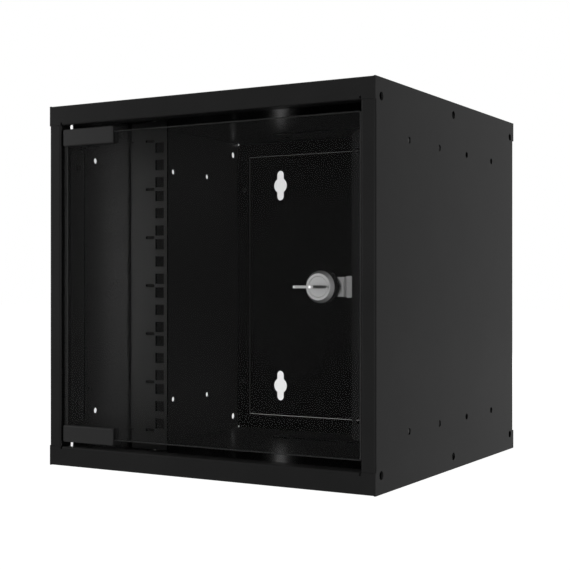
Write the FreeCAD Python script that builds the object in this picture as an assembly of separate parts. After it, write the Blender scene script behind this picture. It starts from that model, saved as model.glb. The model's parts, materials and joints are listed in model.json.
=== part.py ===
import FreeCAD, Part
import math
import os

# Wall mount network cabinet, ten-inch rack width, six rack units high, with a glass door.
# X runs to the right, Y from the front to the wall, Z up. All sizes are in millimetres.
# The origin is the centre of the rear face, which lies against the wall.

Vec = FreeCAD.Vector

# Rack standard
rack_unit = 44.45
rack_units = 6
hole_line_spacing = 236.525
unit_hole_heights = (6.35, 22.225, 38.1)
square_hole = 9.5

# Welded shell
cabinet_width = 308.0
cabinet_depth = 300.0
cabinet_height = 306.0
sheet = 1.5
bend = 1.7
lip_height = 16.6
lip_return = 14.0
front_flange = 12.0
stop_depth = 13.6
stop_inset = 26.0
stop_half_height = 115.5
stop_corner = 4.0
stop_hole_inset = 20.8
stop_hole_height = 100.5
stop_hole_radius = 2.75
rear_flange = 17.0
seam = 0.2
relief = 1.6
through = 1.0

# Side wall holes: depths behind the front, and heights from the middle
shelf_hole_depths = (60.0, 120.0, 180.0, 240.0)
shelf_hole_height = 112.0
shelf_hole_radius = 2.65
corner_hole_depths = (10.0, 290.0)
corner_hole_height = 139.0
middle_hole_depth = 150.0
middle_hole_height = 142.5
corner_hole_radius = 3.25

# Rear panel
keyhole_x = 100.0
keyhole_z = 105.0
keyhole_radius = 8.0
keyhole_slot_radius = 4.25
keyhole_length = 31.0
rear_panel_top = 136.2
rear_panel_bottom = -136.1
rear_panel_gap = 0.1
rear_screw_inset = 11.0
rear_screw_z = 101.5
rear_screw_radius = 1.95
rear_screw_head = 3.8
rear_screw_length = 5.8
thread_allowance = 0.05

# Cable entries in the top and the bottom, each shut by a plate
cover_half_width = 75.5
cover_front = 241.0
cover_back = 281.0
cover_corner = 2.0
entry_margin_x = 11.5
entry_margin_y = 5.0
entry_corner = 3.0
cover_screw_margin = 5.5
cover_screw_radius = 1.45
cover_screw_head = 3.0
cover_screw_length = 4.2

# Mounting rails
rail_sheet = 2.0
rail_bend = 2.5
rail_depth = 109.5
rail_inner_inset = 44.0
rail_leg = 22.0
rail_half_height = 151.0
rail_leg_half_height = 133.0
unit_mark_inset = 24.95
unit_mark_length = 10.0
unit_mark_width = 3.0
rail_hole_radius = 3.2
rail_notch = 1.4
rail_screw_radius = 2.6
rail_screw_head = 5.6
rail_screw_crown = 3.2
rail_screw_height = 3.4
rail_screw_socket = 2.0

# Door glass
glass_left = -140.2
glass_right = 140.4
glass_half_height = 128.5
glass_front_depth = 2.75
glass_thickness = 4.0
glass_corner = 2.0
glass_edge_chamfer = 0.4
lock_hole_clearance = 0.6

# Hinges
clamp_left = -139.7
clamp_right = -86.5
clamp_low = 118.2
clamp_high = 132.5
clamp_depth = 9.5
clamp_rounding = 1.3
clamp_chamfer = 0.9
clamp_screw_x = (-126.0, -99.0)
clamp_screw_radius = 1.95
clamp_screw_socket = 1.0
pad_thickness = 0.5
pad_margin = 1.5
pin_x = -133.0
pin_depth = 4.5
pin_radius = 1.5
pin_clearance = 0.05
pin_top = 142.5
bush_radius = 2.8
bush_collar_radius = 4.2
bush_collar_height = 1.5

# Cam lock, on its own axis through the glass
lock_x = 107.3
lock_z = -0.8
bezel_radius = 12.1
bezel_face_radius = 10.05
bezel_height = 3.5
gasket_thickness = 0.5
barrel_radius = 9.0
barrel_depth = 19.5
barrel_flat = 8.0
plug_head_radius = 7.95
plug_radius = 6.4
plug_head_depth = 1.5
plug_clearance = 0.05
plug_tail = 8.0
wafer_depths = (3.5, 6.5, 9.5, 12.5)
wafer_thickness = 1.2
wafer_width = 11.4
wafer_height = 4.0
rear_washer_radius = 12.2
rear_washer_thickness = 0.75
tooth_ring_radius = 11.6
tooth_radius = 13.0
tooth_width = 1.8
tooth_washer_thickness = 1.0
tooth_count = 12
nut_across_flats = 22.0
nut_height = 4.0
cam_width = 14.8
cam_nose_width = 16.2
cam_sheet = 2.0
cam_reach = 19.4
cam_nose_length = 5.2
cam_step = 4.0
cam_screw_radius = 2.4
cam_screw_flange = 6.5
cam_screw_across_flats = 8.0
cam_screw_head = 3.5

# Key
key_front_depth = -27.0
key_bow_width = 17.0
key_bow_length = 25.4
key_blade_width = 8.0
key_thickness = 2.0
key_blade_end = 14.5
key_clearance = 0.15
key_ring_radius = 2.2
key_ring_place = 5.5
key_corner = 3.7
key_shoulder = 1.5
key_notch = 0.7

# Faces worked out from the driving dimensions
half_width = cabinet_width / 2
half_height = cabinet_height / 2
front = -cabinet_depth
wall_inside = half_width - sheet
opening_x = half_width - front_flange
stop_x = half_width - stop_inset
lip_z = half_height - lip_height
flange_z = lip_z - seam
glass_front = front + glass_front_depth
glass_back = glass_front + glass_thickness
slot_front = glass_front - pad_thickness
slot_back = glass_back + pad_thickness
clamp_back = front + clamp_depth
clamp_screw_z = (clamp_low + glass_half_height) / 2
pin_y = front + pin_depth
bezel_back = glass_front - gasket_thickness
bezel_face = bezel_back - bezel_height
barrel_end = front + barrel_depth
plug_end = barrel_end + 1.0
keyway_end = front + key_blade_end + 1.0
rear_washer_end = glass_back + rear_washer_thickness
tooth_washer_end = rear_washer_end + tooth_washer_thickness
nut_end = tooth_washer_end + nut_height


def at_depth(depth):
    """Y of a plane that lies this far behind the front of the cabinet."""
    return front + depth


def block(x0, x1, y0, y1, z0, z1):
    return Part.makeBox(x1 - x0, y1 - y0, z1 - z0, Vec(x0, y0, z0))


def span(x0, x1, y0, y1, z0, z1):
    """Box between limits that may be given in either order."""
    return block(min(x0, x1), max(x0, x1), y0, y1, min(z0, z1), max(z0, z1))


def rod(radius, start, end, end_radius=None):
    """Cylinder, or a cone when end_radius is given, between two points."""
    foot, axis = Vec(*start), Vec(*end) - Vec(*start)
    if end_radius is None:
        return Part.makeCylinder(radius, axis.Length, foot, axis)
    return Part.makeCone(radius, end_radius, axis.Length, foot, axis)


def mirror_x(shape):
    return shape.mirror(Vec(0, 0, 0), Vec(1, 0, 0))


def mirror_z(shape):
    return shape.mirror(Vec(0, 0, 0), Vec(0, 0, 1))


def outline(corners):
    """Closed flat wire through (x, y, radius) corners, each rounded by its radius."""
    points = [Vec(x, y, 0) for x, y, _ in corners]
    stations = []
    for i, (_, _, radius) in enumerate(corners):
        here = points[i]
        if not radius:
            stations.append((here, None, here))
            continue
        back = (points[i - 1] - here).normalize()
        ahead = (points[(i + 1) % len(points)] - here).normalize()
        half = back.getAngle(ahead) / 2
        reach = radius / math.tan(half)
        centre = here + (back + ahead).normalize() * (radius / math.sin(half))
        middle = centre + (here - centre).normalize() * radius
        stations.append((here + back * reach, middle, here + ahead * reach))
    edges = []
    for i, (start, middle, end) in enumerate(stations):
        if middle:
            edges.append(Part.Arc(start, middle, end).toShape())
        following = stations[(i + 1) % len(stations)][0]
        if end.distanceToPoint(following) > 1e-6:
            edges.append(Part.makeLine(end, following))
    return Part.Wire(edges)


def folded(path, thickness, radius):
    """Section of bent sheet: path is one face, the metal lies to its left, bends are rounded."""
    points = [Vec(x, y, 0) for x, y in path]
    steps = [(b - a).normalize() for a, b in zip(points, points[1:])]
    lefts = [Vec(-step.y, step.x, 0) for step in steps]
    near = []
    far = []
    for i, point in enumerate(points):
        before = lefts[max(i - 1, 0)]
        after = lefts[min(i, len(lefts) - 1)]
        other = point + (before + after) * (thickness / (1 + before.dot(after)))
        near_radius = 0
        far_radius = 0
        if 0 < i < len(steps):
            left_turn = steps[i - 1].cross(steps[i]).z > 0
            near_radius = radius if left_turn else radius - thickness
            far_radius = radius - thickness if left_turn else radius
        near.append((point.x, point.y, near_radius))
        far.append((other.x, other.y, far_radius))
    return near + far[::-1]


planes = {
    "XY": (FreeCAD.Rotation(), Vec(0, 0, 1)),
    "YZ": (FreeCAD.Rotation(Vec(0, 1, 0), Vec(0, 0, 1), Vec(1, 0, 0), "ZXY"), Vec(1, 0, 0)),
    "XZ": (FreeCAD.Rotation(Vec(1, 0, 0), Vec(0, 0, 1), Vec(0, -1, 0), "ZXY"), Vec(0, 1, 0)),
}


def prism(corners, plane, low, high):
    """Solid of an outline in a plane, between two heights on the axis across that plane."""
    turn, normal = planes[plane]
    face = Part.Face(outline(corners))
    face.Placement = FreeCAD.Placement(normal * low, turn)
    return face.extrude(normal * (high - low))


def rectangle(x0, x1, y0, y1, radius):
    return [(x0, y0, radius), (x1, y0, radius), (x1, y1, radius), (x0, y1, radius)]


def edges_on(shape, test):
    """Edges whose middle point passes the test."""
    chosen = []
    for edge in shape.Edges:
        middle = edge.valueAt((edge.FirstParameter + edge.LastParameter) / 2)
        if test(middle):
            chosen.append(edge)
    return chosen


# Shell

def side_wall_holes():
    """Fixing holes through a side wall: two shelf rows, and a row along the top and the bottom."""
    places = [(depth, shelf_hole_height, shelf_hole_radius) for depth in shelf_hole_depths]
    places += [(depth, corner_hole_height, corner_hole_radius) for depth in corner_hole_depths]
    places += [(middle_hole_depth, middle_hole_height, corner_hole_radius)]
    holes = []
    for side in (-1, 1):
        for depth, height, radius in places:
            y, z = at_depth(depth), side * height
            holes.append(rod(radius, (wall_inside - through, y, z), (half_width + through, y, z)))
    return holes


def side_panel():
    """Right side: wall, front flange, return, door stop strip and rear flange in one folded sheet."""
    stop_face = at_depth(stop_depth)
    path = [
        (stop_x, stop_face),
        (opening_x, stop_face),
        (opening_x, front),
        (half_width, front),
        (half_width, -sheet),
        (half_width - rear_flange, -sheet),
    ]
    panel = prism(folded(path, sheet, bend), "XY", -flange_z, flange_z)
    strip_front, strip_back = stop_face - bend, stop_face + 2 * sheet
    zone = block(stop_x - through, opening_x + sheet, strip_front, strip_back, -flange_z, flange_z)
    strip = rectangle(stop_x, opening_x + 2 * stop_corner, -stop_half_height, stop_half_height, stop_corner)
    panel = panel.cut(zone.cut(prism(strip, "XZ", strip_front - through, strip_back)))
    stop_hole_x = half_width - stop_hole_inset
    screw_x = half_width - rear_screw_inset
    tapped_radius = rear_screw_radius + thread_allowance
    for side in (-1, 1):
        panel = panel.fuse(span(wall_inside, half_width, front, 0, side * flange_z, side * half_height))
        z = side * stop_hole_height
        panel = panel.cut(rod(stop_hole_radius, (stop_hole_x, strip_front, z), (stop_hole_x, strip_back, z)))
        z = side * rear_screw_z
        panel = panel.cut(rod(tapped_radius, (screw_x, -3 * sheet, z), (screw_x, 0, z)))
    return panel.cut(side_wall_holes()).removeSplitter()


def top_panel():
    """Top: plate with a folded front lip, its return, and a rear flange; slotted for cables."""
    return_end = front + lip_return
    path = [(0, lip_z), (0, half_height), (front, half_height), (front, lip_z), (return_end, lip_z)]
    panel = prism(folded(path, sheet, bend), "YZ", -wall_inside, wall_inside)
    lip_end = opening_x + seam
    notch = lip_end - relief
    lip_back = front + sheet
    below = lip_z - through
    plate_low = half_height - sheet
    for side in (-1, 1):
        outer = side * (wall_inside + through)
        end = side * lip_end
        panel = panel.cut(span(side * notch, outer, lip_back, return_end + through, below, lip_z + bend))
        panel = panel.fuse(span(end, side * wall_inside, front, lip_back, lip_z, lip_z + 2 * bend))
        panel = panel.cut(span(side * notch, end, front - through, lip_back, below, lip_z + 1.5 * bend))
        panel = panel.cut(span(side * (wall_inside - relief), outer, -sheet - through, through,
                               plate_low - relief, plate_low))
        panel = panel.cut(cover_screw_cutter(side))
    entry_half = cover_half_width - entry_margin_x
    entry = rectangle(-entry_half, entry_half, at_depth(cover_front + entry_margin_y),
                      at_depth(cover_back - entry_margin_y), entry_corner)
    panel = panel.cut(prism(entry, "XY", half_height - 2 * sheet, half_height + through))
    panel = panel.cut(rod(bush_radius, (pin_x, pin_y, lip_z - through), (pin_x, pin_y, lip_z + 2 * sheet)))
    return panel.removeSplitter()


def rear_panel():
    """Plate between the top and bottom flanges, behind the side flanges, with four keyholes."""
    half = wall_inside - rear_panel_gap
    plate = block(-half, half, -sheet, 0, rear_panel_bottom, rear_panel_top)
    slot_half = keyhole_length / 2
    for x in (-keyhole_x, keyhole_x):
        for z in (-keyhole_z, keyhole_z):
            slot = rectangle(x - keyhole_slot_radius, x + keyhole_slot_radius,
                             z - slot_half, z + slot_half, keyhole_slot_radius - 0.001)
            plate = plate.cut(prism(slot, "XZ", -sheet - through, through))
            plate = plate.cut(rod(keyhole_radius, (x, -sheet - through, z), (x, through, z)))
    for x, z in rear_screw_places():
        plate = plate.cut(rod(rear_screw_head + 2 * thread_allowance, (x, 0, z), (x, -sheet, z),
                              rear_screw_radius + 3 * thread_allowance))
    return plate


def rear_screw_places():
    x = half_width - rear_screw_inset
    return [(sx * x, sz * rear_screw_z) for sx in (-1, 1) for sz in (-1, 1)]


def rear_panel_screws():
    """Slotted countersunk M4 screws from the wall side into the tapped side flanges."""
    screws = []
    for x, z in rear_screw_places():
        head = rod(rear_screw_head, (x, 0, z), (x, -sheet, z), rear_screw_radius)
        shank = rod(rear_screw_radius, (x, -sheet, z), (x, -rear_screw_length, z))
        slot = block(x - 0.5, x + 0.5, -0.8, through, z - rear_screw_head, z + rear_screw_head)
        screws.append(head.fuse(shank).cut(slot).removeSplitter())
    return screws


# Cable entry covers

def cover_screw_place(side):
    x = side * (cover_half_width - cover_screw_margin)
    return x, at_depth((cover_front + cover_back) / 2)


def cover_screw_cutter(side):
    x, y = cover_screw_place(side)
    return rod(cover_screw_head + 2 * thread_allowance, (x, y, half_height), (x, y, half_height - sheet),
               cover_screw_radius + 3 * thread_allowance)


def cable_cover():
    """Plate on the inner face of the top, tapped at both ends."""
    top = half_height - sheet
    plate = prism(rectangle(-cover_half_width, cover_half_width, at_depth(cover_front),
                            at_depth(cover_back), cover_corner), "XY", top - sheet, top)
    for side in (-1, 1):
        x, y = cover_screw_place(side)
        tapped_radius = cover_screw_radius + thread_allowance
        plate = plate.cut(rod(tapped_radius, (x, y, top - sheet - through), (x, y, top + through)))
    return plate


def cable_cover_screws():
    """Slotted countersunk M3 screws, two in the top and two in the bottom."""
    screws = []
    seat = half_height - sheet
    for side in (-1, 1):
        x, y = cover_screw_place(side)
        head = rod(cover_screw_head, (x, y, half_height), (x, y, seat), cover_screw_radius)
        shank = rod(cover_screw_radius, (x, y, seat), (x, y, half_height - cover_screw_length))
        slot = block(x - cover_screw_head, x + cover_screw_head, y - 0.4, y + 0.4,
                     half_height - 0.7, half_height + through)
        screw = head.fuse(shank).cut(slot).removeSplitter()
        screws += [screw, mirror_z(screw)]
    return screws


# Mounting rails

def mounting_rail():
    """Right rail: punched face with three square holes a unit, and a leg along the side wall."""
    face_y = at_depth(rail_depth)
    inner_x = half_width - rail_inner_inset
    path = [(inner_x, face_y), (wall_inside, face_y), (wall_inside, face_y + rail_leg)]
    rail = prism(folded(path, rail_sheet, rail_bend), "XY", -rail_half_height, rail_half_height)
    front_cut, back_cut = face_y - through, face_y + rail_sheet + through
    cuts = []
    for side in (-1, 1):
        low, high = side * rail_leg_half_height, side * (rail_half_height + through)
        cuts.append(span(wall_inside - rail_bend, wall_inside + through,
                         front_cut, face_y + rail_leg + through, low, high))
        cuts.append(span(wall_inside - 2 * rail_bend, wall_inside, front_cut, back_cut, low,
                         low + side * rail_notch))
    leg_inside = wall_inside - rail_sheet
    for y, z in rail_screw_places():
        cuts.append(rod(rail_hole_radius, (leg_inside - through, y, z), (wall_inside + through, y, z)))
    hole_x = hole_line_spacing / 2
    half = square_hole / 2
    mark_x = half_width - unit_mark_inset
    bottom_z = -rack_unit * rack_units / 2
    for unit in range(rack_units + 1):
        unit_z = bottom_z + unit * rack_unit
        mark = rectangle(mark_x - unit_mark_length / 2, mark_x + unit_mark_length / 2,
                         unit_z - unit_mark_width / 2, unit_z + unit_mark_width / 2,
                         unit_mark_width / 2 - 0.001)
        cuts.append(prism(mark, "XZ", front_cut, back_cut))
    for unit in range(rack_units):
        for height in unit_hole_heights:
            z = bottom_z + unit * rack_unit + height
            cuts.append(block(hole_x - half, hole_x + half, front_cut, back_cut, z - half, z + half))
    return rail.cut(cuts).removeSplitter()


def rail_screw_places():
    y = at_depth(shelf_hole_depths[1])
    return [(y, side * shelf_hole_height) for side in (-1, 1)]


def rail_screws():
    """Button-head M6 screws from the inside, through the rail leg, into the side wall."""
    screws = []
    seat = wall_inside - rail_sheet
    crown = seat - rail_screw_height
    for y, z in rail_screw_places():
        head = rod(rail_screw_head, (seat, y, z), (crown, y, z), rail_screw_crown)
        shank = rod(rail_screw_radius, (seat, y, z), (half_width - 0.5 * sheet, y, z))
        socket = hexagon_bar(rail_screw_socket, (crown - 1, y, z), 3, along="X")
        screw = head.fuse(shank).cut(socket).removeSplitter()
        screws += [screw, mirror_x(screw)]
    return screws


def hexagon_bar(apothem, foot, length, along):
    """Six-sided bar from foot, with a corner towards +X when it runs along Y."""
    reach = apothem / math.cos(math.pi / 6)
    corners = [(reach * math.cos(math.pi / 3 * i), reach * math.sin(math.pi / 3 * i), 0) for i in range(6)]
    plane = {"X": "YZ", "Y": "XZ"}[along]
    bar = prism(corners, plane, 0, length)
    bar.translate(Vec(*foot))
    return bar


# Hinges

def hinge_clamp():
    """Top clamp: a U block over the edge of the glass, with tapped holes in its rear cheek."""
    section = rectangle(front, clamp_back, clamp_low, clamp_high, clamp_rounding)
    body = prism(section, "YZ", clamp_left, clamp_right)
    ends = edges_on(body, lambda p: p.x < clamp_left + 0.01 or p.x > clamp_right - 0.01)
    body = body.makeChamfer(clamp_chamfer, ends)
    body = body.cut(block(clamp_left - through, clamp_right + through, slot_front, slot_back,
                          clamp_low - through, glass_half_height + seam))
    tapped_radius = clamp_screw_radius + thread_allowance
    for x in clamp_screw_x:
        start, end = (x, slot_back - 0.5, clamp_screw_z), (x, clamp_back + through, clamp_screw_z)
        body = body.cut(rod(tapped_radius, start, end))
    return body.cut(rod(pin_radius, (pin_x, pin_y, glass_half_height), (pin_x, pin_y, clamp_high + through)))


def clamp_pads():
    """Rubber strips between the cheeks and the glass."""
    low, high = clamp_low + pad_margin / 2, glass_half_height
    left, right = clamp_left + pad_margin, clamp_right - pad_margin
    return [block(left, right, slot_front, glass_front, low, high),
            block(left, right, glass_back, slot_back, low, high)]


def clamp_screws():
    """Socket grub screws that press the rear pad on the glass, in both clamps."""
    screws = []
    for x in clamp_screw_x:
        stem = rod(clamp_screw_radius, (x, slot_back, clamp_screw_z), (x, clamp_back - seam, clamp_screw_z))
        socket = hexagon_bar(clamp_screw_socket, (x, clamp_back - 1.3, clamp_screw_z), 3, along="Y")
        screw = stem.cut(socket)
        screws += [screw, mirror_z(screw)]
    return screws


def hinge_pin():
    """Pin pressed into the clamp, turning in the bush of the lip."""
    pin = rod(pin_radius, (pin_x, pin_y, glass_half_height + seam), (pin_x, pin_y, pin_top))
    return pin.makeChamfer(0.5, edges_on(pin, lambda p: abs(p.z - pin_top) < 0.01))


def hinge_bush():
    """Nylon bush through the return of the lip, with a collar above it, cut flat beside the lip."""
    collar_z = lip_z + sheet
    collar_top = collar_z + bush_collar_height
    sleeve = rod(bush_radius, (pin_x, pin_y, lip_z), (pin_x, pin_y, collar_z))
    collar = rod(bush_collar_radius, (pin_x, pin_y, collar_z), (pin_x, pin_y, collar_top))
    reach = 2 * bush_collar_radius
    bend_end = front + bend + 0.05
    above = collar_top + through
    beside = block(pin_x - reach, pin_x + reach, front - bend, bend_end, lip_z, above)
    bore = rod(pin_radius + pin_clearance, (pin_x, pin_y, lip_z - through), (pin_x, pin_y, above))
    return sleeve.fuse(collar.cut(beside)).cut(bore)


def door_glass():
    """Toughened pane with polished edges and a hole for the lock."""
    pane = prism(rectangle(glass_left, glass_right, -glass_half_height, glass_half_height, glass_corner),
                 "XZ", glass_front, glass_back)
    rims = edges_on(pane, lambda p: abs(p.y - glass_front) < 0.01 or abs(p.y - glass_back) < 0.01)
    pane = pane.makeChamfer(glass_edge_chamfer, rims)
    hole_radius = barrel_radius + lock_hole_clearance
    return pane.cut(lock_rod(hole_radius, glass_front - through, glass_back + through))


# Cam lock

def lock_rod(radius, y0, y1, end_radius=None):
    return rod(radius, (lock_x, y0, lock_z), (lock_x, y1, lock_z), end_radius)


def lock_block(half_x, y0, y1, half_z):
    """Box centred on the lock's axis, given by half its width and half its height."""
    return block(lock_x - half_x, lock_x + half_x, y0, y1, lock_z - half_z, lock_z + half_z)


def on_lock_axis(shape):
    """The shape, drawn about the height of zero, moved to the height of the lock."""
    shape.translate(Vec(0, 0, lock_z))
    return shape


def lock_ring(inner, outer, y0, y1):
    return lock_rod(outer, y0, y1).cut(lock_rod(inner, y0 - 1, y1 + 1))


def lock_body():
    """Bezel and flatted barrel, bored for the plug."""
    bezel = lock_rod(bezel_face_radius, bezel_face, bezel_back, bezel_radius)
    barrel = lock_rod(barrel_radius, bezel_back, barrel_end)
    flats = lock_block(bezel_radius, bezel_back, barrel_end, barrel_flat)
    body = bezel.fuse(barrel.common(flats))
    body = body.cut(lock_rod(plug_radius + plug_clearance, bezel_face - through, barrel_end + through))
    recess_end = bezel_face + plug_head_depth + 0.1
    return body.cut(lock_rod(plug_head_radius + plug_clearance, bezel_face - through, recess_end))


def lock_plug():
    """Plug with a round head, a keyway, slots for the wafers and a square tail for the cam."""
    face = bezel_face - 0.1
    shoulder = bezel_face + plug_head_depth
    head = lock_rod(plug_head_radius, face, shoulder)
    head = head.makeChamfer(0.3, edges_on(head, lambda p: abs(p.y - face) < 0.01))
    core = lock_rod(plug_radius, shoulder, plug_end)
    plug = head.fuse([core, tail_block(0, plug_end, plug_end + cam_sheet - 0.1)])
    half = key_blade_width / 2 + key_clearance
    gap = key_thickness / 2 + key_clearance
    plug = plug.cut(lock_block(half, face - through, keyway_end, gap))
    tapped_radius = cam_screw_radius + thread_allowance
    plug = plug.cut(lock_rod(tapped_radius, keyway_end + 1, plug_end + 2 * cam_sheet))
    for depth in wafer_depths:
        plug = plug.cut(wafer_block(at_depth(depth), thread_allowance))
    return plug


def tail_block(play, y0, y1):
    """Square of the plug's tail, or of the cam's hole when there is play."""
    half = plug_tail / 2 + play
    return lock_block(half, y0, y1, half)


def wafer_block(y, play):
    """Outside of a wafer, or its slot in the plug when there is play."""
    half = wafer_thickness / 2 + play
    return lock_block(wafer_width / 2 + play, y - half, y + half, wafer_height / 2 + play)


def lock_wafers():
    """Brass wafers, each with a window that the key passes through."""
    half = key_blade_width / 2 + key_clearance
    gap = key_thickness / 2 + key_clearance
    window = lock_block(half, front - through, keyway_end, gap)
    return [wafer_block(at_depth(depth), 0).cut(window) for depth in wafer_depths]


def tooth_washer():
    """Toothed washer under the nut: a ring with teeth round its outside."""
    washer = lock_ring(barrel_radius + 0.2, tooth_ring_radius, rear_washer_end, tooth_washer_end)
    low, high = lock_z - tooth_width / 2, lock_z + tooth_width / 2
    root, tip = lock_x + tooth_ring_radius - 0.3, lock_x + tooth_radius
    for i in range(tooth_count):
        tooth = block(root, tip, rear_washer_end, tooth_washer_end, low, high)
        tooth.rotate(Vec(lock_x, 0, lock_z), Vec(0, 1, 0), 360 / tooth_count * i)
        washer = washer.fuse(tooth)
    return washer.removeSplitter()


def lock_nut():
    apothem = nut_across_flats / 2
    nut = hexagon_bar(apothem, (lock_x, tooth_washer_end, lock_z), nut_height, along="Y")
    cone = lock_rod(apothem + 0.2, nut_end, tooth_washer_end, apothem + 0.2 + nut_height)
    return nut.common(cone).cut(lock_rod(barrel_radius + 0.05, tooth_washer_end - through, nut_end + through))


def lock_cam():
    """Cranked cam: its nose steps towards the front and is a little wider than its arm."""
    heel_x = lock_x - cam_width / 2
    nose_x = lock_x + cam_reach
    crank_x = nose_x - cam_nose_length
    path = [(heel_x, plug_end), (crank_x - cam_step, plug_end), (crank_x, plug_end - cam_step),
            (nose_x, plug_end - cam_step)]
    strap = prism(folded(path, cam_sheet, cam_sheet + 0.6), "XY", -cam_nose_width / 2, cam_nose_width / 2)
    upper = [
        (nose_x, cam_nose_width / 2, 1.2),
        (crank_x, cam_nose_width / 2, 0.6),
        (crank_x, cam_width / 2, 0),
        (heel_x, cam_width / 2, 4.0),
    ]
    lower = [(x, -z, radius) for x, z, radius in upper[::-1]]
    cam = strap.common(prism(lower + upper, "XZ", plug_end - 2 * cam_step, plug_end + 2 * cam_step))
    return on_lock_axis(cam).cut(tail_block(0.05, plug_end - through, plug_end + 2 * cam_sheet))


def cam_screw():
    """Hexagon-head screw with a flange that holds the cam on the plug's tail."""
    seat = plug_end + cam_sheet
    top = seat + 1 + cam_screw_head
    flange = lock_rod(cam_screw_flange, seat, seat + 1)
    apothem = cam_screw_across_flats / 2
    head = hexagon_bar(apothem, (lock_x, seat + 1, lock_z), cam_screw_head, along="Y")
    head = head.common(lock_rod(apothem + 1.6, seat + 1, top, apothem + 0.2))
    return flange.fuse([head, lock_rod(cam_screw_radius, keyway_end + 1.5, seat)]).removeSplitter()


def key():
    """Flat key: rounded bow with a ring hole, shoulders and a blade notched on both edges."""
    bow_front = front + key_front_depth
    bow_back = bow_front + key_bow_length
    blade_end = front + key_blade_end
    half_bow = key_bow_width / 2
    half_blade = key_blade_width / 2
    plan = [
        (lock_x - half_bow, bow_front, key_corner),
        (lock_x + half_bow, bow_front, key_corner),
        (lock_x + half_bow, bow_back - key_shoulder, 1.0),
        (lock_x + half_blade, bow_back, 0.6),
        (lock_x + half_blade, blade_end, 1.0),
        (lock_x - half_blade, blade_end, 1.0),
        (lock_x - half_blade, bow_back, 0.6),
        (lock_x - half_bow, bow_back - key_shoulder, 1.0),
    ]
    low, high = -key_thickness / 2, key_thickness / 2
    plate = prism(plan, "XY", low, high)
    ring_y = bow_front + key_ring_place
    plate = plate.cut(rod(key_ring_radius, (lock_x, ring_y, low - through), (lock_x, ring_y, high + through)))
    for depth in wafer_depths:
        y = at_depth(depth)
        for side in (-1, 1):
            edge, root = lock_x + side * (half_blade + key_notch), lock_x + side * (half_blade - key_notch)
            notch = [(edge, y - 2 * key_notch, 0), (edge, y + 2 * key_notch, 0), (root, y, 0)]
            plate = plate.cut(prism(notch, "XY", low - through, high + through))
    return on_lock_axis(plate)


# Write one STEP file for each sub-part

def write(name, shapes):
    solids = shapes if isinstance(shapes, list) else [shapes]
    solids = [solid for shape in solids for solid in shape.Solids]
    for solid in solids:
        if not solid.isValid():
            raise ValueError(name + " has a faulty solid")
    whole = solids[0] if len(solids) == 1 else Part.makeCompound(solids)
    whole.exportStep("parts/" + name + ".step")
    print(name, len(solids), round(sum(solid.Volume for solid in solids), 1))


def main():
    os.makedirs("parts", exist_ok=True)
    side = side_panel()
    write("side_panel_right", side)
    write("side_panel_left", mirror_x(side))
    top = top_panel()
    write("top_panel", top)
    write("bottom_panel", mirror_z(top))
    write("rear_panel", rear_panel())
    write("rear_panel_screws", rear_panel_screws())
    cover = cable_cover()
    write("cable_cover_top", cover)
    write("cable_cover_bottom", mirror_z(cover))
    write("cable_cover_screws", cable_cover_screws())
    rail = mounting_rail()
    write("mounting_rail_right", rail)
    write("mounting_rail_left", mirror_x(rail))
    write("rail_screws", rail_screws())
    bush = hinge_bush()
    write("hinge_bush_top", bush)
    write("hinge_bush_bottom", mirror_z(bush))
    write("door_glass", door_glass())
    clamp = hinge_clamp()
    write("hinge_clamp_top", clamp)
    write("hinge_clamp_bottom", mirror_z(clamp))
    pads = clamp_pads()
    write("clamp_pads_top", pads)
    write("clamp_pads_bottom", [mirror_z(pad) for pad in pads])
    write("clamp_screws", clamp_screws())
    pin = hinge_pin()
    write("hinge_pin_top", pin)
    write("hinge_pin_bottom", mirror_z(pin))
    write("lock_body", lock_body())
    write("lock_gasket", lock_ring(barrel_radius + 0.1, bezel_radius - 0.4, bezel_back, glass_front))
    write("lock_rear_washer", lock_ring(barrel_radius + 0.1, rear_washer_radius, glass_back, rear_washer_end))
    write("lock_tooth_washer", tooth_washer())
    write("lock_nut", lock_nut())
    write("lock_plug", lock_plug())
    write("lock_wafers", lock_wafers())
    write("lock_cam", lock_cam())
    write("cam_screw", cam_screw())
    write("key", key())


main()
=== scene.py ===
import json
import math

import bpy
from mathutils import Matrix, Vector

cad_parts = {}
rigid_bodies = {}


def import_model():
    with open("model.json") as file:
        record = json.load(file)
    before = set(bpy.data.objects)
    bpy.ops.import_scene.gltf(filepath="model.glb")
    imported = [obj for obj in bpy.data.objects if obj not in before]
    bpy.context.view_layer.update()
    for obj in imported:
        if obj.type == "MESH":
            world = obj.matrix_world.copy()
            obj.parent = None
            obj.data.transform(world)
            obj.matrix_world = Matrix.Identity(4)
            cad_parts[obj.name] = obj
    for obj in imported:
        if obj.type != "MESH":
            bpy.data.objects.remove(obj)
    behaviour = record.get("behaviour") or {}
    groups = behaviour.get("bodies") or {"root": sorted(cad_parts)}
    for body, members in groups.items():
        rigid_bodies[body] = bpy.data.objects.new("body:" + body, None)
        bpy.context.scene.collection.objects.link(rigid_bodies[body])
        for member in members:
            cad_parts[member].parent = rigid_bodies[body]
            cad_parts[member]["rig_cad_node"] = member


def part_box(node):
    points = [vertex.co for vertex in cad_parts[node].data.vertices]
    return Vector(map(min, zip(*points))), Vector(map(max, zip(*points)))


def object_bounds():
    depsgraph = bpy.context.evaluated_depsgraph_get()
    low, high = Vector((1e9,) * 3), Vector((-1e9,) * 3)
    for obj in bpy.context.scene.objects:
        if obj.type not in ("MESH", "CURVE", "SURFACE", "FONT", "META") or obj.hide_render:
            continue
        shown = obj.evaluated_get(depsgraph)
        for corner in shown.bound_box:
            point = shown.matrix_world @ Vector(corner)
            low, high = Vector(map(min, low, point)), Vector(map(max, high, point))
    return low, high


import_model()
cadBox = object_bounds()
print("frame loaded")

scene = bpy.context.scene
scene.view_settings.view_transform = "Standard"

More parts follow.
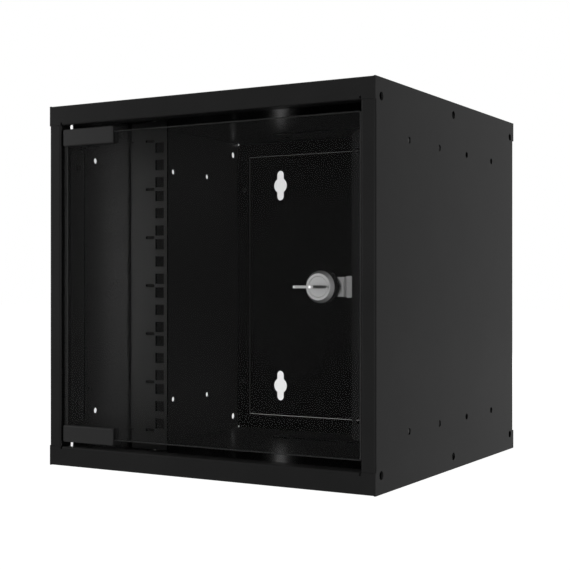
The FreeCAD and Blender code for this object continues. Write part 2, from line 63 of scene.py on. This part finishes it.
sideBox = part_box("side_panel_right")
floorZ = sideBox[0].z
frontY = sideBox[0].y
rightX = sideBox[1].x


class Wire:
    # one output socket; sums and products of it add Math nodes
    def __init__(self, socket):
        self.socket = socket

    def math(self, operation, first, second):
        return node(self.socket.id_data, "ShaderNodeMath", {"operation": operation}, {0: first, 1: second})

    def __add__(self, other):
        return self.math("ADD", self, other)

    def __radd__(self, other):
        return self.math("ADD", other, self)

    def __mul__(self, other):
        return self.math("MULTIPLY", self, other)

    def __rmul__(self, other):
        return self.math("MULTIPLY", other, self)

    def atLeast(self, other):
        return self.math("MAXIMUM", self, other)


def node(tree, kind, settings, sockets, output=0):
    made = tree.nodes.new(kind)
    for name, value in settings.items():
        setattr(made, name, value)
    for name, value in sockets.items():
        if isinstance(name, int):
            target = made.inputs[name]
        else:
            target = next(s for s in made.inputs if s.name == name and s.enabled)
        if isinstance(value, Wire):
            tree.links.new(value.socket, target)
        else:
            target.default_value = value
    if not made.outputs:
        return None
    if isinstance(output, str):
        return Wire(made.outputs[output])
    return Wire([s for s in made.outputs if s.enabled][output])


def newTree(name):
    material = bpy.data.materials.new(name)
    material.use_nodes = True
    material.node_tree.nodes.clear()
    return material, material.node_tree


def objectPlace(tree):
    return node(tree, "ShaderNodeTexCoord", {}, {}, "Object")


def noise(tree, scale, detail, stretch=(1, 1, 1)):
    at = node(tree, "ShaderNodeVectorMath", {"operation": "MULTIPLY"}, {0: objectPlace(tree), 1: stretch})
    return node(tree, "ShaderNodeTexNoise", {}, {"Vector": at, "Scale": scale, "Detail": detail})


def remap(tree, value, low, high, start, end):
    # low..high becomes start..end
    return node(tree, "ShaderNodeMapRange", {},
                {"Value": value, "From Min": low, "From Max": high, "To Min": start, "To Max": end})


noiseRange = {"low": 0.3, "high": 0.7}  # holds nearly all of a noise's values


def spread(tree, value, start, end):
    # a noise becomes start..end
    return remap(tree, value, noiseRange["low"], noiseRange["high"], start, end)


def mixColour(tree, amount, first, second):
    return node(tree, "ShaderNodeMix", {"data_type": "RGBA"}, {"Factor": amount, "A": first, "B": second})


def bump(tree, height, strength, distance):
    return node(tree, "ShaderNodeBump", {}, {"Height": height, "Strength": strength, "Distance": distance})


def surface(tree, sockets):
    shader = node(tree, "ShaderNodeBsdfPrincipled", {}, sockets)
    node(tree, "ShaderNodeOutputMaterial", {}, {"Surface": shader})


def grey(value):
    return (value, value, value, 1.0)


# powder coat: fine orange peel, slightly cloudy, duller in the hollows of its grain
powder = {
    "light": 0.0300,
    "dark": 0.0240,
    "roughLow": 0.32,
    "roughHigh": 0.42,
    "specular": 0.036,
    "ior": 1.5,
    "grain": 1500.0,
    "grainDetail": 2.0,
    "grainShare": 0.4,
    "grainDepth": 0.00005,
    "grainStrength": 0.12,
    "cloud": 18.0,
    "cloudDetail": 3.0,
    "cloudShare": 0.6,
    "shadeLow": 0.35,
    "shadeHigh": 0.65,
}


def powderCoat(name, values, fade=None):
    # fade: the coat grows duller between two depths behind the front
    material, tree = newTree(name)
    cloud = noise(tree, values["cloud"], values["cloudDetail"])
    grain = noise(tree, values["grain"], values["grainDetail"])
    mottle = cloud * values["cloudShare"] + grain * values["grainShare"]
    shade = remap(tree, mottle, values["shadeLow"], values["shadeHigh"], 0.0, 1.0)
    roughness = spread(tree, grain, values["roughHigh"], values["roughLow"])
    if fade:
        depth = node(tree, "ShaderNodeSeparateXYZ", {}, {"Vector": objectPlace(tree)}, "Y")
        more = fade["roughness"] - values["roughLow"]
        roughness = roughness + remap(tree, depth, frontY + fade["from"], frontY + fade["to"], 0.0, more)
    surface(tree, {
        "Base Color": mixColour(tree, shade, grey(values["dark"]), grey(values["light"])),
        "Roughness": roughness,
        "Specular IOR Level": values["specular"],
        "IOR": values["ior"],
        "Normal": bump(tree, grain, values["grainStrength"], values["grainDepth"]),
    })
    return material


# grey tinted glass, covering a little at each of its faces; its ground edge is nearly closed and lighter,
# partly the pale ground glass and partly a painted reflection of the stop strip beside it
glass = {
    "tint": 0.004,
    "cover": 0.175,
    "roughLow": 0.02,
    "roughHigh": 0.06,
    "specular": 0.20,
    "smear": 9.0,
    "smearDetail": 2.0,
}
groundEdgeAndReflection = {
    "light": 0.108,
    "dark": 0.072,
    "cover": 0.92,
    "roughLow": 0.25,
    "roughHigh": 0.35,
    "specular": 0.08,
    "grind": 700.0,
    "grindDetail": 2.0,
    "stretch": (1, 0.1, 1),
}


def tintedGlass(name, values):
    material, tree = newTree(name)
    smear = noise(tree, values["smear"], values["smearDetail"])
    surface(tree, {
        "Base Color": grey(values["tint"]),
        "Roughness": spread(tree, smear, values["roughLow"], values["roughHigh"]),
        "Specular IOR Level": values["specular"],
        "Alpha": values["cover"],
    })
    return material


def glassEdge(name, values):
    material, tree = newTree(name)
    grind = noise(tree, values["grind"], values["grindDetail"], values["stretch"])
    surface(tree, {
        "Base Color": mixColour(tree, grind, grey(values["dark"]), grey(values["light"])),
        "Roughness": spread(tree, grind, values["roughLow"], values["roughHigh"]),
        "Specular IOR Level": values["specular"],
        "Alpha": values["cover"],
    })
    return material


# painted clamps, and plated and plain metals
metals = {
    "clamp": {"colour": 0.035, "metal": 0.0, "specular": 0.1, "rough": 0.38,
              "grain": 900.0, "wear": 0.10, "stretch": (1, 1, 1)},
    "bright": {"colour": 0.85, "metal": 1.0, "specular": 0.5, "rough": 0.12,
               "grain": 600.0, "wear": 0.10, "stretch": (1, 1, 0.1)},
    "black": {"colour": 0.020, "metal": 0.0, "specular": 0.1, "rough": 0.42,
              "grain": 1200.0, "wear": 0.15, "stretch": (1, 1, 1)},
    "nickel": {"colour": 0.37, "metal": 0.85, "specular": 0.5, "rough": 0.34,
               "grain": 900.0, "wear": 0.05, "stretch": (1, 0.2, 1)},
    "key": {"colour": 0.34, "metal": 1.0, "specular": 0.5, "rough": 0.38,
            "grain": 700.0, "wear": 0.05, "stretch": (1, 0.2, 1)},
    # the cam's plating is near white and hardly metallic: partly its pale zinc, partly a painted reflection
    # of the bright surroundings the cam would mirror
    "zinc": {"colour": 1.0, "metal": 0.05, "specular": 1.0, "rough": 0.42,
             "grain": 500.0, "wear": 0.05, "stretch": (0.15, 1, 1)},
    "brass": {"tint": (0.62, 0.40, 0.14, 1.0), "metal": 1.0, "specular": 0.5, "rough": 0.30,
              "grain": 800.0, "wear": 0.10, "stretch": (1, 1, 1)},
}
plating = {"grainDetail": 3.0, "polished": 0.85, "dulled": 1.15, "grainStrength": 0.08, "grainDepth": 0.00003}


def metal(name, values):
    material, tree = newTree(name)
    grain = noise(tree, values["grain"], plating["grainDetail"], values["stretch"])
    full = values["tint"] if "tint" in values else grey(values["colour"])
    worn = tuple(channel * (1 - values["wear"]) for channel in full[:3]) + (1.0,)
    polished = values["rough"] * plating["polished"]
    dulled = values["rough"] * plating["dulled"]
    surface(tree, {
        "Base Color": mixColour(tree, grain, worn, full),
        "Metallic": values["metal"],
        "Specular IOR Level": values["specular"],
        "Roughness": spread(tree, grain, polished, dulled),
        "Normal": bump(tree, grain, plating["grainStrength"], plating["grainDepth"]),
    })
    return material


softParts = {
    "rubber": {"dark": 0.0096, "light": 0.0144, "roughLow": 0.72, "roughHigh": 0.80},
    "nylon": {"dark": 0.0080, "light": 0.0120, "roughLow": 0.45, "roughHigh": 0.50},
}
moulding = {"grain": 1400.0, "grainDetail": 2.0, "specular": 0.3, "grainStrength": 0.2, "grainDepth": 0.00005}


def softPart(name, values):
    material, tree = newTree(name)
    grain = noise(tree, moulding["grain"], moulding["grainDetail"])
    surface(tree, {
        "Base Color": mixColour(tree, grain, grey(values["dark"]), grey(values["light"])),
        "Roughness": spread(tree, grain, values["roughLow"], values["roughHigh"]),
        "Specular IOR Level": moulding["specular"],
        "Normal": bump(tree, grain, moulding["grainStrength"], moulding["grainDepth"]),
    })
    return material


railPaint = {**powder, "light": 0.009, "dark": 0.007, "specular": 1.0, "ior": 1.75,
             "roughLow": 0.32, "roughHigh": 0.40}
finishes = {
    "powder_coat": powderCoat("powder coat", powder),
    "rail": powderCoat("rail coat", railPaint),
    "tinted_glass": tintedGlass("tinted glass", glass),
    "clamp_coat": metal("clamp coat", metals["clamp"]),
    "bright_steel": metal("bright steel", metals["bright"]),
    "black_steel": metal("black steel", metals["black"]),
    "nickel_plate": metal("nickel plate", metals["nickel"]),
    "key_steel": metal("key steel", metals["key"]),
    "zinc_plate": metal("zinc plate with painted reflection", metals["zinc"]),
    "brass": metal("brass", metals["brass"]),
    "rubber": softPart("rubber", softParts["rubber"]),
    "nylon": softPart("nylon", softParts["nylon"]),
}
pieceFinish = {
    "powder_coat": ["side_panel_left", "side_panel_right", "top_panel", "bottom_panel", "rear_panel",
                    "cable_cover_top", "cable_cover_bottom"],
    "rail": ["mounting_rail_left", "mounting_rail_right"],
    "tinted_glass": ["door_glass"],
    "clamp_coat": ["hinge_clamp_top", "hinge_clamp_bottom"],
    "bright_steel": ["hinge_pin_top", "hinge_pin_bottom"],
    "black_steel": ["lock_nut", "lock_tooth_washer", "rear_panel_screws", "cable_cover_screws",
                    "rail_screws", "clamp_screws"],
    "nickel_plate": ["lock_body", "lock_plug"],
    "key_steel": ["key"],
    "zinc_plate": ["lock_cam", "cam_screw"],
    "brass": ["lock_wafers"],
    "rubber": ["clamp_pads_top", "clamp_pads_bottom", "lock_gasket", "lock_rear_washer"],
    "nylon": ["hinge_bush_top", "hinge_bush_bottom"],
}
cadPieces = {o["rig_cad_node"]: o for o in scene.objects if "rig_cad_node" in o}
for finish, names in pieceFinish.items():
    for name in names:
        piece = cadPieces[name]
        piece.data.materials.clear()
        piece.data.materials.append(finishes[finish])
print("finishes set")

# the faces that look into the cabinet get darker copies of the powder coat, painted shade for the little
# light that reaches in, and the side walls are smoother, so the rails show in them
inside = {**powder, "light": 0.0050, "dark": 0.0040, "specular": 0.80, "roughLow": 0.24, "roughHigh": 0.32,
          "grainStrength": 0.05}
# the stop strips behind the door get a darker copy of the outer coat, painted shade in that recess; they are
# also a little glossier
strip = {**inside, "light": 0.0160, "dark": 0.0130, "specular": 0.08}
# the deepest inward faces, and the rails' side faces, get the darkest copy: painted shade where almost no
# light reaches
deep = {**inside, "light": 0.0034, "dark": 0.0026, "specular": 0.045}
wallFade = {"from": 0.11, "to": 0.17, "roughness": 0.55}
paintedShadeCoats = [powderCoat("deep painted shade coat", deep), powderCoat("wall painted shade coat", inside, wallFade),
               powderCoat("strip painted shade coat", strip)]
deepSlot, wallSlot, stripSlot = 1, 2, 3
# the stop strips: metres behind the front and from the middle; then how squarely a face looks aside or ahead
zones = {"stripFront": 0.012, "stripBack": 0.016, "stripHalfWidth": 0.1415, "squareOn": 0.9, "railFace": 0.5}
heart = (cadBox[0] + cadBox[1]) / 2


def insideSlot(piece, face):
    centre = piece.matrix_world @ face.center
    looksIn = (piece.matrix_world.to_3x3() @ face.normal).dot(heart - centre) > 0
    depth = centre.y - frontY
    isSide = piece["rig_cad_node"].startswith("side")
    onStrip = zones["stripFront"] < depth < zones["stripBack"] and abs(centre.x) < zones["stripHalfWidth"]
    # faces on the stop strips take the strip painted shade
    if isSide and onStrip:
        return stripSlot
    if looksIn and isSide and abs(face.normal.x) > zones["squareOn"]:
        return wallSlot
    if looksIn and depth > zones["stripBack"]:
        return deepSlot
    return face.material_index


# each inward face of these panels takes one of the painted shade coats
for name in pieceFinish["powder_coat"]:
    piece = cadPieces[name]
    for coat in paintedShadeCoats:
        piece.data.materials.append(coat)
    for face in piece.data.polygons:
        face.material_index = insideSlot(piece, face)
# the rails keep their own coat on faces that look ahead or back; their other faces take the deep painted
# shade
for name in pieceFinish["rail"]:
    rail = cadPieces[name]
    rail.data.materials.append(paintedShadeCoats[0])
    for face in rail.data.polygons:
        face.material_index = 0 if abs(face.normal.y) > zones["railFace"] else deepSlot
print("inside coats set")

# the edge faces take the lighter edge material, which is partly painted reflection
pane = cadPieces["door_glass"]
pane.data.materials.append(glassEdge("glass edge", groundEdgeAndReflection))
for face in pane.data.polygons:
    face.material_index = 1 if abs(face.normal.y) < zones["squareOn"] else 0
print("glass edges set")


# camera, level, aimed 30 degrees to the left of straight on
lens = {"length": 75.0, "aim": math.radians(30), "ahead": 0.8614, "right": 0.06566, "above": 0.0006}
ahead = Vector((-math.sin(lens["aim"]), math.cos(lens["aim"]), 0))
right = Vector((math.cos(lens["aim"]), math.sin(lens["aim"]), 0))
corner = Vector((rightX, frontY, 0))
cameraData = bpy.data.cameras.new("camera")
cameraData.lens = lens["length"]
camera = bpy.data.objects.new("camera", cameraData)
camera.location = corner - ahead * lens["ahead"] - right * lens["right"] + Vector((0, 0, lens["above"]))
camera.rotation_euler = (math.radians(90), 0, lens["aim"])
scene.collection.objects.link(camera)
scene.camera = camera
print("camera set")


# lamps, each aimed at the middle: degrees round from the front, metres, watts
lamps = {
    "key lamp": {"round": 30, "height": 0.04, "distance": 1.8, "wide": 0.75, "high": 0.28, "watts": 9.5},
    "fill lamp": {"round": -64, "height": 0.20, "distance": 1.05, "wide": 0.50, "high": 0.50, "watts": 3.0},
    "back lamp": {"round": 180, "height": 0.50, "distance": 1.6, "wide": 0.26, "high": 0.26, "watts": 9.0},
}
for name, values in lamps.items():
    light = bpy.data.lights.new(name, "AREA")
    light.shape = "RECTANGLE"
    light.size = values["wide"]
    light.size_y = values["high"]
    light.energy = values["watts"]
    lamp = bpy.data.objects.new(name, light)
    turn = math.radians(values["round"])
    away = Vector((math.sin(turn), -math.cos(turn), 0)) * values["distance"]
    lamp.location = heart + away + Vector((0, 0, values["height"]))
    lamp.rotation_euler = (lamp.location - heart).to_track_quat("Z", "Y").to_euler()
    scene.collection.objects.link(lamp)
print("lamps set")

worldLevel = 0.03  # the world's own light; to the eye, and in gloss and glass, it is white
world = bpy.data.worlds.new("studio")
world.use_nodes = True
world.node_tree.nodes.clear()
scene.world = world


def seenDirectly(tree):
    # 1 for rays that the eye, a shiny surface or the glass sends out
    rays = [node(tree, "ShaderNodeLightPath", {}, {}, name)
            for name in ("Is Camera Ray", "Is Glossy Ray", "Is Transmission Ray")]
    return rays[0].atLeast(rays[1]).atLeast(rays[2])


worldTree = world.node_tree
seen = seenDirectly(worldTree)
background = node(worldTree, "ShaderNodeBackground", {},
                  {"Color": grey(1.0), "Strength": seen * (1 - worldLevel) + worldLevel})
node(worldTree, "ShaderNodeOutputWorld", {}, {"Surface": background})

# floor: white to the eye, and a little darker where the cabinet shades it
floor = {"half": 6.0, "drop": 0.0002, "glow": 1.0, "albedo": 0.35, "roughness": 0.9}
half = floor["half"]
floorCorners = [(-half, -half, 0), (half, -half, 0), (half, half, 0), (-half, half, 0)]
floorMesh = bpy.data.meshes.new("floor")
floorMesh.from_pydata(floorCorners, [], [(0, 1, 2, 3)])
ground = bpy.data.objects.new("floor", floorMesh)
ground.location.z = floorZ - floor["drop"]
scene.collection.objects.link(ground)
floorMaterial, floorTree = newTree("floor")
surface(floorTree, {
    "Base Color": grey(floor["albedo"]),
    "Roughness": floor["roughness"],
    "Specular IOR Level": 0.0,
    "Emission Color": mixColour(floorTree, seenDirectly(floorTree), grey(0.0), grey(floor["glow"])),
    "Emission Strength": 1.0,
})
floorMesh.materials.append(floorMaterial)
print("world and floor set")
